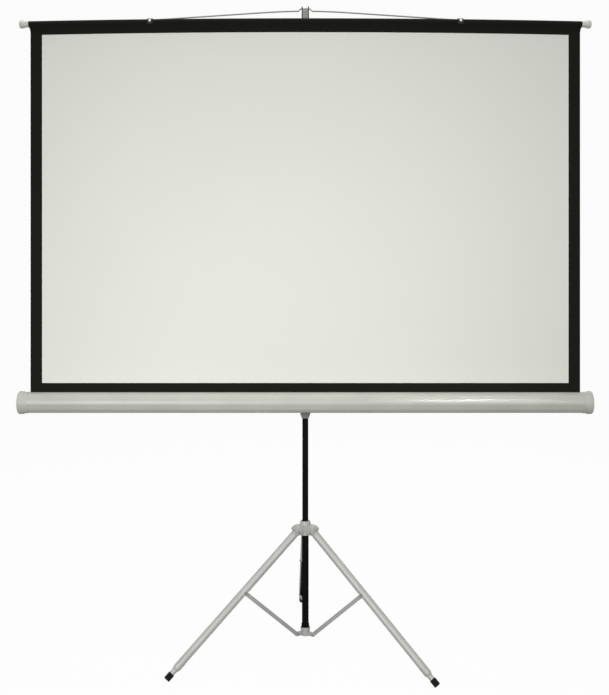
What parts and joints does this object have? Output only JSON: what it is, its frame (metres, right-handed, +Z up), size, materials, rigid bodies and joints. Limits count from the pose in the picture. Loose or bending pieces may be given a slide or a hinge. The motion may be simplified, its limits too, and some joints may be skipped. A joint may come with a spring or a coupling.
{
  "type": "tripod projection screen",
  "caption": "Portable projection screen: a white sheet with black borders pulled from a round spring-roller case, hung by a wire bail on an extending rod over a folding tripod.",
  "frame": {"origin": "on the floor under the middle of the overall box", "axes": "+Z up along the column, +X along the case, -Y the way the picture faces"},
  "size_m": [1.8994, 0.7786, 2.1772],
  "materials": {
    "black_paint": "satin black paint",
    "silver_tube": "satin silver plate",
    "steel": "bare steel",
    "case_paint": "light grey paint",
    "pale_plastic": "moulded",
    "grey_plastic": "moulded",
    "black_plastic": "moulded",
    "rubber": "matt",
    "black_fabric": "matt black coating",
    "white_fabric": "matt white coating"
  },
  "bodies": {
    "column": {"column_tube": "black_paint", "spacer_sleeve": "black_paint", "column_collar": "black_plastic", "base_hub": "silver_tube", "hub_pin_left": "steel", "hub_pin_right": "steel", "hub_pin_rear": "steel"},
    "button": {"lock_button": "grey_plastic"},
    "slider": {"slider_body": "grey_plastic", "lever_pin": "steel", "pivot_washer": "pale_plastic", "pivot_bolt": "steel"},
    "lever": {"height_lever": "black_plastic"},
    "rod": {"rod_tube": "silver_tube", "rod_glide": "black_plastic", "bail_hook": "steel"},
    "case": {"case_shell": "case_paint", "case_saddle": "grey_plastic", "case_cap_left": "pale_plastic", "case_cap_right": "pale_plastic", "spring_shaft": "steel", "idler_pin": "steel", "roller_spring": "steel"},
    "roller": {"roller_tube": "steel", "fabric_roll": "white_fabric", "spring_plug": "pale_plastic", "idler_plug": "pale_plastic"},
    "slat": {"slat_tube": "steel", "screen_hem": "black_fabric", "slat_knob_left": "pale_plastic", "slat_knob_right": "pale_plastic", "bail_clamp_left": "black_plastic", "bail_clamp_right": "black_plastic", "screen_border": "black_fabric", "screen_field": "white_fabric"},
    "bail": {"bail_wire": "steel"},
    "head": {"tripod_head": "silver_tube", "head_pin_left": "steel", "head_pin_right": "steel", "head_pin_rear": "steel"},
    "spreader_left": {"spreader_left": "silver_tube"},
    "leg_left": {"leg_tube_left": "silver_tube", "leg_plug_left": "grey_plastic", "leg_pin_left": "steel", "leg_foot_left": "rubber"},
    "spreader_right": {"spreader_right": "silver_tube"},
    "leg_right": {"leg_tube_right": "silver_tube", "leg_plug_right": "grey_plastic", "leg_pin_right": "steel", "leg_foot_right": "rubber"},
    "spreader_rear": {"spreader_rear": "silver_tube"},
    "leg_rear": {"leg_tube_rear": "silver_tube", "leg_plug_rear": "grey_plastic", "leg_pin_rear": "steel", "leg_foot_rear": "rubber"}
  },
  "joints": [
    {"name": "leg_fold", "type": "hinge", "parent": "column", "child": "spreader_left", "pos_m": [-0.02838, -0.12371, 0.068], "axis": [-0.4617, 0.887, 0], "range_deg": [0, 48]},
    {"name": "leg_left_fold", "type": "hinge", "parent": "spreader_left", "child": "leg_left", "pos_m": [-0.20095, -0.21354, 0.24], "axis": [-0.4617, 0.887, 0], "range_deg": [-96, 0]},
    {"name": "spreader_right_fold", "type": "hinge", "parent": "column", "child": "spreader_right", "pos_m": [0.02668, -0.1266, 0.068], "axis": [-0.5519, -0.8339, 0], "range_deg": [0, 48]},
    {"name": "leg_right_fold", "type": "hinge", "parent": "spreader_right", "child": "leg_right", "pos_m": [0.18891, -0.23397, 0.24], "axis": [-0.5519, -0.8339, 0], "range_deg": [-96, 0]},
    {"name": "spreader_rear_fold", "type": "hinge", "parent": "column", "child": "spreader_rear", "pos_m": [-0.00084, -0.07695, 0.068], "axis": [0.9997, 0.0262, 0], "range_deg": [0, 48]},
    {"name": "leg_rear_fold", "type": "hinge", "parent": "spreader_rear", "child": "leg_rear", "pos_m": [-0.00593, 0.11753, 0.24], "axis": [0.9997, 0.0262, 0], "range_deg": [-96, 0]},
    {"name": "head_level", "type": "hinge", "parent": "leg_rear", "child": "head", "pos_m": [-0.00084, -0.07695, 0.412], "axis": [0.9997, 0.0262, 0], "range_deg": [0, 48]},
    {"name": "screen_height", "type": "slide", "parent": "column", "child": "slider", "axis": [0, 0, 1], "range_m": [-0.15, 0.25]},
    {"name": "rod_extend", "type": "slide", "parent": "slider", "child": "rod", "axis": [0, 0, 1], "range_m": [-0.65, 0]},
    {"name": "case_pivot", "type": "hinge", "parent": "slider", "child": "case", "pos_m": [0, -0.10894, 0.851], "axis": [0, 1, 0], "range_deg": [0, 60]},
    {"name": "screen_pull", "type": "slide", "parent": "case", "child": "slat", "axis": [0, 0, 1], "range_m": [-0.65, 0], "deforming": ["screen_border", "screen_field"]},
    {"name": "roller_turn", "type": "hinge", "parent": "case", "child": "roller", "pos_m": [0, -0.16894, 0.851], "axis": [1, 0, 0], "range_deg": [-2200, 0]},
    {"name": "bail_swing", "type": "hinge", "parent": "slat", "child": "bail", "pos_m": [0, -0.14183, 2.12296], "axis": [1, 0, 0], "range_deg": [0, 90]},
    {"name": "lever_squeeze", "type": "hinge", "parent": "slider", "child": "lever", "pos_m": [0, -0.08864, 0.872], "axis": [-1, 0, 0], "range_deg": [0, 10], "stiffness_Nm_per_rad": 1.5},
    {"name": "button_press", "type": "slide", "parent": "column", "child": "button", "axis": [0, -1, 0], "range_m": [0, 0.003], "stiffness_N_per_m": 800}
  ],
  "couplings": [
    {"joint": "leg_left_fold", "follows": "leg_fold", "ratio": -2},
    {"joint": "spreader_right_fold", "follows": "leg_fold", "ratio": 1},
    {"joint": "leg_right_fold", "follows": "leg_fold", "ratio": -2},
    {"joint": "spreader_rear_fold", "follows": "leg_fold", "ratio": 1},
    {"joint": "leg_rear_fold", "follows": "leg_fold", "ratio": -2},
    {"joint": "head_level", "follows": "leg_fold", "ratio": 1},
    {"joint": "screen_pull", "follows": "rod_extend", "ratio": 1},
    {"joint": "roller_turn", "follows": "rod_extend", "rad_per_m": 58.824}
  ]
}
